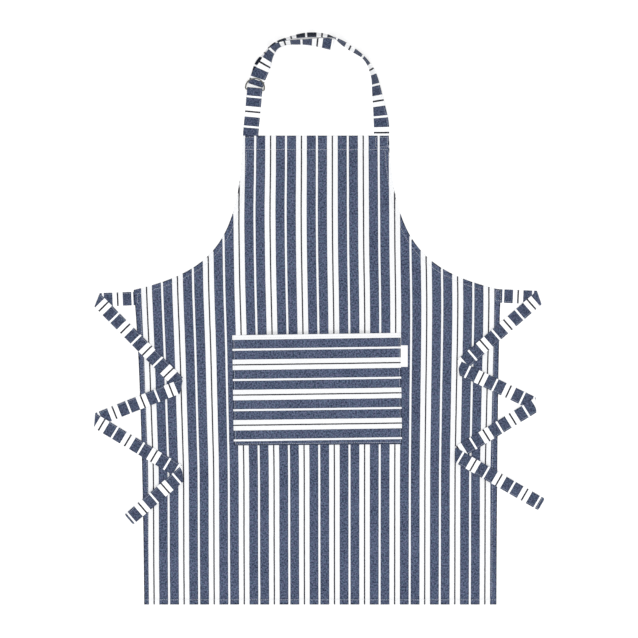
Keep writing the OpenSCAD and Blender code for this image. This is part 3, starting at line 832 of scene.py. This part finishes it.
# Places along the neck strap's middle line and the stripe places there, in millimetres
NECK_RUN = [-22, 3, 123, 180.6, 238.6, 268.2, 400, 418.5, 431.5, 468.5, 498.3, 529.3, 562, 591.4, 619.3, 640]
NECK_CLOTH = [4.5, 28.3, 141.5, 198.1, 254.7, 283, 414.8, 437, 452.8, 481.1, 509.4, 537.7, 566, 594.3, 622.6, 643]


def neck_strap():
    s = catmull_rom(neck_stations(), 6)
    az, el = np.radians(s[:, 3]), np.radians(s[:, 4])
    across = np.stack([np.cos(az) * np.cos(el), np.sin(az) * np.cos(el), np.sin(el)], -1)
    centre = s[:, :3] * MM
    centre[:, 2] += STRAP_W / 2 * np.abs(np.sin(el)) + STRAP_T / 2 * np.abs(np.cos(el))
    # The sewn end lies thin under the bib's hem
    seam_y = np.array([0.319, 0.325, 0.331, 0.337, 0.3405])
    seam_z = np.array([0.40, 0.40, 0.42, 0.50, 0.75]) * MM
    seam = np.column_stack([np.full(5, NECK_X), seam_y, seam_z])
    centre = np.concatenate([seam, centre])
    across = np.concatenate([np.tile([1.0, 0, 0], (5, 1)), across])
    thickness = np.concatenate([np.array([0.7, 0.7, 0.72, 0.8, 1.1]) * MM, np.full(len(s), STRAP_T)])
    way = unit(np.gradient(centre, axis=0))
    through = unit(np.cross(across, way))
    run = run_along(centre)
    run -= run[5]
    u = np.interp(run / MM, NECK_RUN, NECK_CLOTH) * MM
    return strap_along("neck_strap", centre, across, through, u, STRAP_W, thickness, [STRAP_FACE, STRAP_REVERSE_SHADED])


piece = neck_strap()
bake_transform(piece)
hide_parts("neck_strap", "neck_strap_seam")


# ------------------------------------------------ ring strap
def ring_strap():
    """A doubled strap: under the bib hem, along below, round both ring bars and back on top.

    Its path is distance beyond the ring bar and height, in millimetres.
    """
    r, under_hem = 2.85, -126.8
    lower = [(-107, 0.28), (-95, 0.28), (-86, 0.45), (-80, 0.9), (-70, 1.15), (-50, 1.2), (-25, 1.2), (-8, 1.2)]
    rear = [(r * math.cos(a), 4.0 + r * math.sin(a)) for a in np.radians(np.linspace(-85, 0, 7))]
    front = [(r * math.cos(a), 7.8 + r * math.sin(a)) for a in np.radians(np.linspace(15, 150, 10))]
    upper = [(-8, 7.6), (-17, 5.0), (-26, 3.3), (-40, 3.02), (-60, 3.0), (-72, 2.9), (-80, 2.3), (-86, 1.2)]
    upper += [(-95, 0.75), (-107, 0.75)]
    path = np.array(lower + rear + front + upper)
    path[:, 1] = np.maximum(path[:, 1], 0.2)
    along, height = catmull_rom(path, 4).T
    x, y = by_ring(0, along)
    straight = smoothstep(-76, -90, along)
    x = x * (1 - straight) + under_hem * straight
    centre = np.column_stack([x, y, height]) * MM
    turned = RING_TURN * (1 - straight)
    across = np.column_stack([np.cos(turned), np.sin(turned), np.zeros(len(x))])
    way = unit(np.gradient(centre, axis=0))
    through = unit(np.cross(way, across))
    thickness = (0.45 + 1.3 * smoothstep(-86, -74, along)) * MM
    run = run_along(centre)
    # Stripes are placed from where a white gap crosses the upper layer
    gap_y = 0.3572
    top = np.where((centre[:, 1] < gap_y) & (np.arange(len(run)) > len(run) // 2))[0][0]
    u = run[top] - run
    return strap_along("ring_strap", centre, across, through, u, STRAP_W, thickness, [STRAP_FACE, STRAP_REVERSE_SHADED])


piece = ring_strap()
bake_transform(piece)
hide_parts("ring_strap", "ring_strap_seam")


# ------------------------------------------------ waist ties
def left_of(v):
    return np.array([-v[1], v[0]])


class Tie:
    """A long strap folded to and fro. Each row of stations is its two edge points with their places along the cloth."""

    def __init__(self, path, under, gaps):
        self.p = np.array(path)
        self.under, self.gaps = under, gaps
        self.ways = unit(np.diff(self.p, axis=0))
        self.lengths = np.linalg.norm(np.diff(self.p, axis=0), axis=1)
        self.starts = run_along(self.p)
        self.last = len(self.ways) - 1
        self.left, self.right, self.u, self.thick, self.where = [], [], [], [], []
        self.build()

    def crease(self, i):
        if i in (0, len(self.p) - 1):
            return left_of(self.ways[min(i, self.last)])
        return unit(self.ways[i - 1] + self.ways[i])

    def thickness(self, run, q):
        """Thin where the tie is sewn under the body's edge, full outside it."""
        return (0.7 + 0.9 * float(smoothstep(*TIE_EMERGES, abs(q[0])))) * MM if run == 0 else TIE_T

    def height(self, run, q):
        low, high = self.under[run]
        along = (q - self.p[run]) @ self.ways[run] / self.lengths[run]
        return (low + (high - low) * along + 0.1) * MM + self.thickness(run, q) / 2

    def cloth_at(self, run, q):
        """Place across the stripes at a point of a run; gaps gives each run's white gap and repeat in millimetres."""
        gap, repeat = self.gaps[run]
        return ((self.starts[run] + (q - self.p[run]) @ self.ways[run]) / MM - gap) / repeat * REPEAT

    def reach(self, i):
        """How far the round at crease i lies in from the crease line, and its radius."""
        if i in (0, len(self.p) - 1):
            return 0.0, 0.0
        r = (self.height(i, self.p[i]) - self.height(i - 1, self.p[i])) / 2
        return r + TIE_T / 2, r

    def end_point(self, run, i, b):
        """A strap edge (b is 1 on the left) where a run meets the round at crease i."""
        m, way = self.crease(i), self.ways[run]
        q = self.p[i] + b * TIE_W / 2 / (m @ left_of(way)) * m
        back = self.reach(i)[0] / abs(left_of(m) @ way)
        return q + way * back * (1 if i == run else -1)

    def row(self, run, share, flip):
        ends = []
        for b in (flip, -flip):
            a, z = self.end_point(run, run, b), self.end_point(run, run + 1, b)
            if run == self.last:
                # The loose end's corners are rounded
                left_over = (1 - share) * np.linalg.norm(z - a)
                corner = 0.003
                if left_over < corner:
                    narrow = corner - math.sqrt(corner**2 - (corner - left_over) ** 2)
                    side = b * left_of(self.ways[run])
                    a, z = a - side * narrow, z - side * narrow
            q = a + (z - a) * share
            ends.append([*q, self.height(run, q), self.cloth_at(run, q) + self.carried])
        return np.array(ends)

    def keep(self, row, where, thick=TIE_T):
        self.left.append(row[0, :3])
        self.right.append(row[1, :3])
        self.u.append(row[:, 3])
        self.thick.append(thick)
        self.where.append(where)

    def build(self):
        self.carried, flip = 0.0, 1
        for run, length in enumerate(self.lengths):
            shares = np.linspace(0, 1, max(8, int(length / 0.004)))
            if run == self.last:
                # Closer rows round the loose end's corners
                end = np.array([0.0030, 0.0022, 0.0014, 0.0007, 0.0002, 0.0])
                shares = np.concatenate([shares[:-1], 1 - end / length])
            for share in shares:
                row = self.row(run, share, flip)
                middle = row[:, :2].mean(0)
                self.keep(row, run + share, self.thickness(run, middle))
            if run < self.last:
                self.round(run + 1, row, flip)
                flip = -flip

    def round(self, i, before, flip):
        """The half turn at crease i up to the next run, which lies on top."""
        gap = self.cloth_at(i - 1, self.p[i]) + self.carried - self.cloth_at(i, self.p[i])
        self.carried = REPEAT * round((gap + 0.004) / REPEAT)
        after = self.row(i, 0.0, -flip)
        r = self.reach(i)[1]
        out = left_of(self.crease(i))
        out = out if out @ self.ways[i - 1] > 0 else -out
        for a in np.radians(np.linspace(-90, 90, 13))[1:-1]:
            share = a / math.pi + 0.5
            row = before * (1 - share) + after * share
            row[:, :2] += out * r * math.cos(a)
            row[:, 2] = (before[:, 2] + after[:, 2]) / 2 + (after[:, 2] - before[:, 2]) / 2 * math.sin(a)
            self.keep(row, i + (share - 0.5) * 0.001)

    def piece(self, name, start, stop):
        """The strap between two places, each a run's number plus the share of that run."""
        first = int(np.argmin(np.abs(np.array(self.where) - start)))
        final = int(np.argmin(np.abs(np.array(self.where) - stop)))
        left, right, u, thick = (np.array(v)[first : final + 1] for v in (self.left, self.right, self.u, self.thick))
        centre = (np.array(self.left) + np.array(self.right)) / 2
        way = unit(np.gradient(centre, axis=0))[first : final + 1]
        through = unit(np.cross(right - left, way))
        piece = strap(name, left, right, through, u, TIE_W, thick, [TIE_FACE, TIE_FACE])
        return piece


def waist_tie(word, path, under, gaps):
    t = Tie(path, under, gaps)
    near, skewed = 0.008, 0.007
    cut = {run: near / t.lengths[run] for run in range(1, 5)}
    bodies = ["apron", *(f"tie_{word}_{k}" for k in ("first", "second", "third"))]
    stops = [0.0, 1 + cut[1], 3 - cut[2], 3 + cut[3], 4 - cut[3], 4 + cut[4], 5.0]
    names = ["sewn_end", "upper", "middle_fold", "lower", "lower_fold", "tail"]
    nodes = [["seam"], ["upper"], [], ["lower"], [], ["tail"]]
    for k, (name, members) in enumerate(zip(names, nodes)):
        piece = t.piece(f"tie_{word}_{name}", stops[k], stops[k + 1])
        if k % 2:
            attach(piece, bodies[(k + 1) // 2])
        else:
            # Between the highest of the run below and the lowest of the run above, as both slope
            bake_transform(piece)
        if members:
            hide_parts(*(f"tie_{word}_{m}" for m in members))
    way, back, half = t.ways[4], 0.005, 0.0105
    middle = t.p[5] - back * way
    ends = [middle + b * half * left_of(way) for b in (-1, 1)]
    line = [[*q, t.height(4, q) + TIE_T / 2 + 0.0001] for q in ends]
    sew(f"thread_tie_{word}_end", line, bodies[3], pitch=0.0028, length=0.0026)


waist_tie("left", LEFT_TIE, LEFT_UNDER, [(20.6, 54.7), (189.8, 57.5), (416.4, 56.7), (585.0, 56.7), (746.0, 55.9)])
waist_tie("right", RIGHT_TIE, RIGHT_UNDER, [(16.2, 55.1), (189.3, 57.9), (357.1, 56.3), (522.1, 57.6), (686.4, 55.2)])


# ------------------------------------------------ stage
FLOOR_HALF, FLOOR_Z = 4.0, -0.0004
CAMERA_HEIGHT, VIEW_WIDTH, SENSOR = 10.0, 1.1867, 36.0
WORLD_STRENGTH = 0.55
# Name, place, size and power
LIGHTS = (("softbox_top", (0.0, 0.0, 9.5), 1.2, 530.0), ("softbox_low", (0.4, -3.0, 4.0), 1.6, 55.0))


def stage():
    square = np.array([[0, 0], [1, 0], [1, 1], [0, 1]])
    corners = np.column_stack([(2 * square - 1) * FLOOR_HALF, np.full(4, FLOOR_Z)])
    floor = new_mesh("floor", corners, [(0, 1, 2, 3)], square, [0], [plain_floor()])
    world = bpy.data.worlds.new("studio")
    world.use_nodes = True
    world.node_tree.nodes["Background"].inputs["Color"].default_value = rgb(1.0, 1.0, 1.0)
    world.node_tree.nodes["Background"].inputs["Strength"].default_value = WORLD_STRENGTH
    bpy.context.scene.world = world
    for name, place, size, power in LIGHTS:
        light = bpy.data.lights.new(name, "AREA")
        light.shape, light.size, light.energy = "SQUARE", size, power
        lamp = bpy.data.objects.new(name, light)
        lamp.location = place
        lamp.rotation_mode = "QUATERNION"
        lamp.rotation_quaternion = Vector(-np.array(place)).to_track_quat("-Z", "Y")
        bpy.context.scene.collection.objects.link(lamp)
    camera = bpy.data.cameras.new("camera")
    camera.sensor_width = SENSOR
    camera.lens = SENSOR * CAMERA_HEIGHT / VIEW_WIDTH
    eye = bpy.data.objects.new("camera", camera)
    eye.location = (0.0, 0.0, CAMERA_HEIGHT)
    bpy.context.scene.collection.objects.link(eye)
    bpy.context.scene.camera = eye
    bpy.context.scene.view_settings.view_transform = "Standard"


stage()
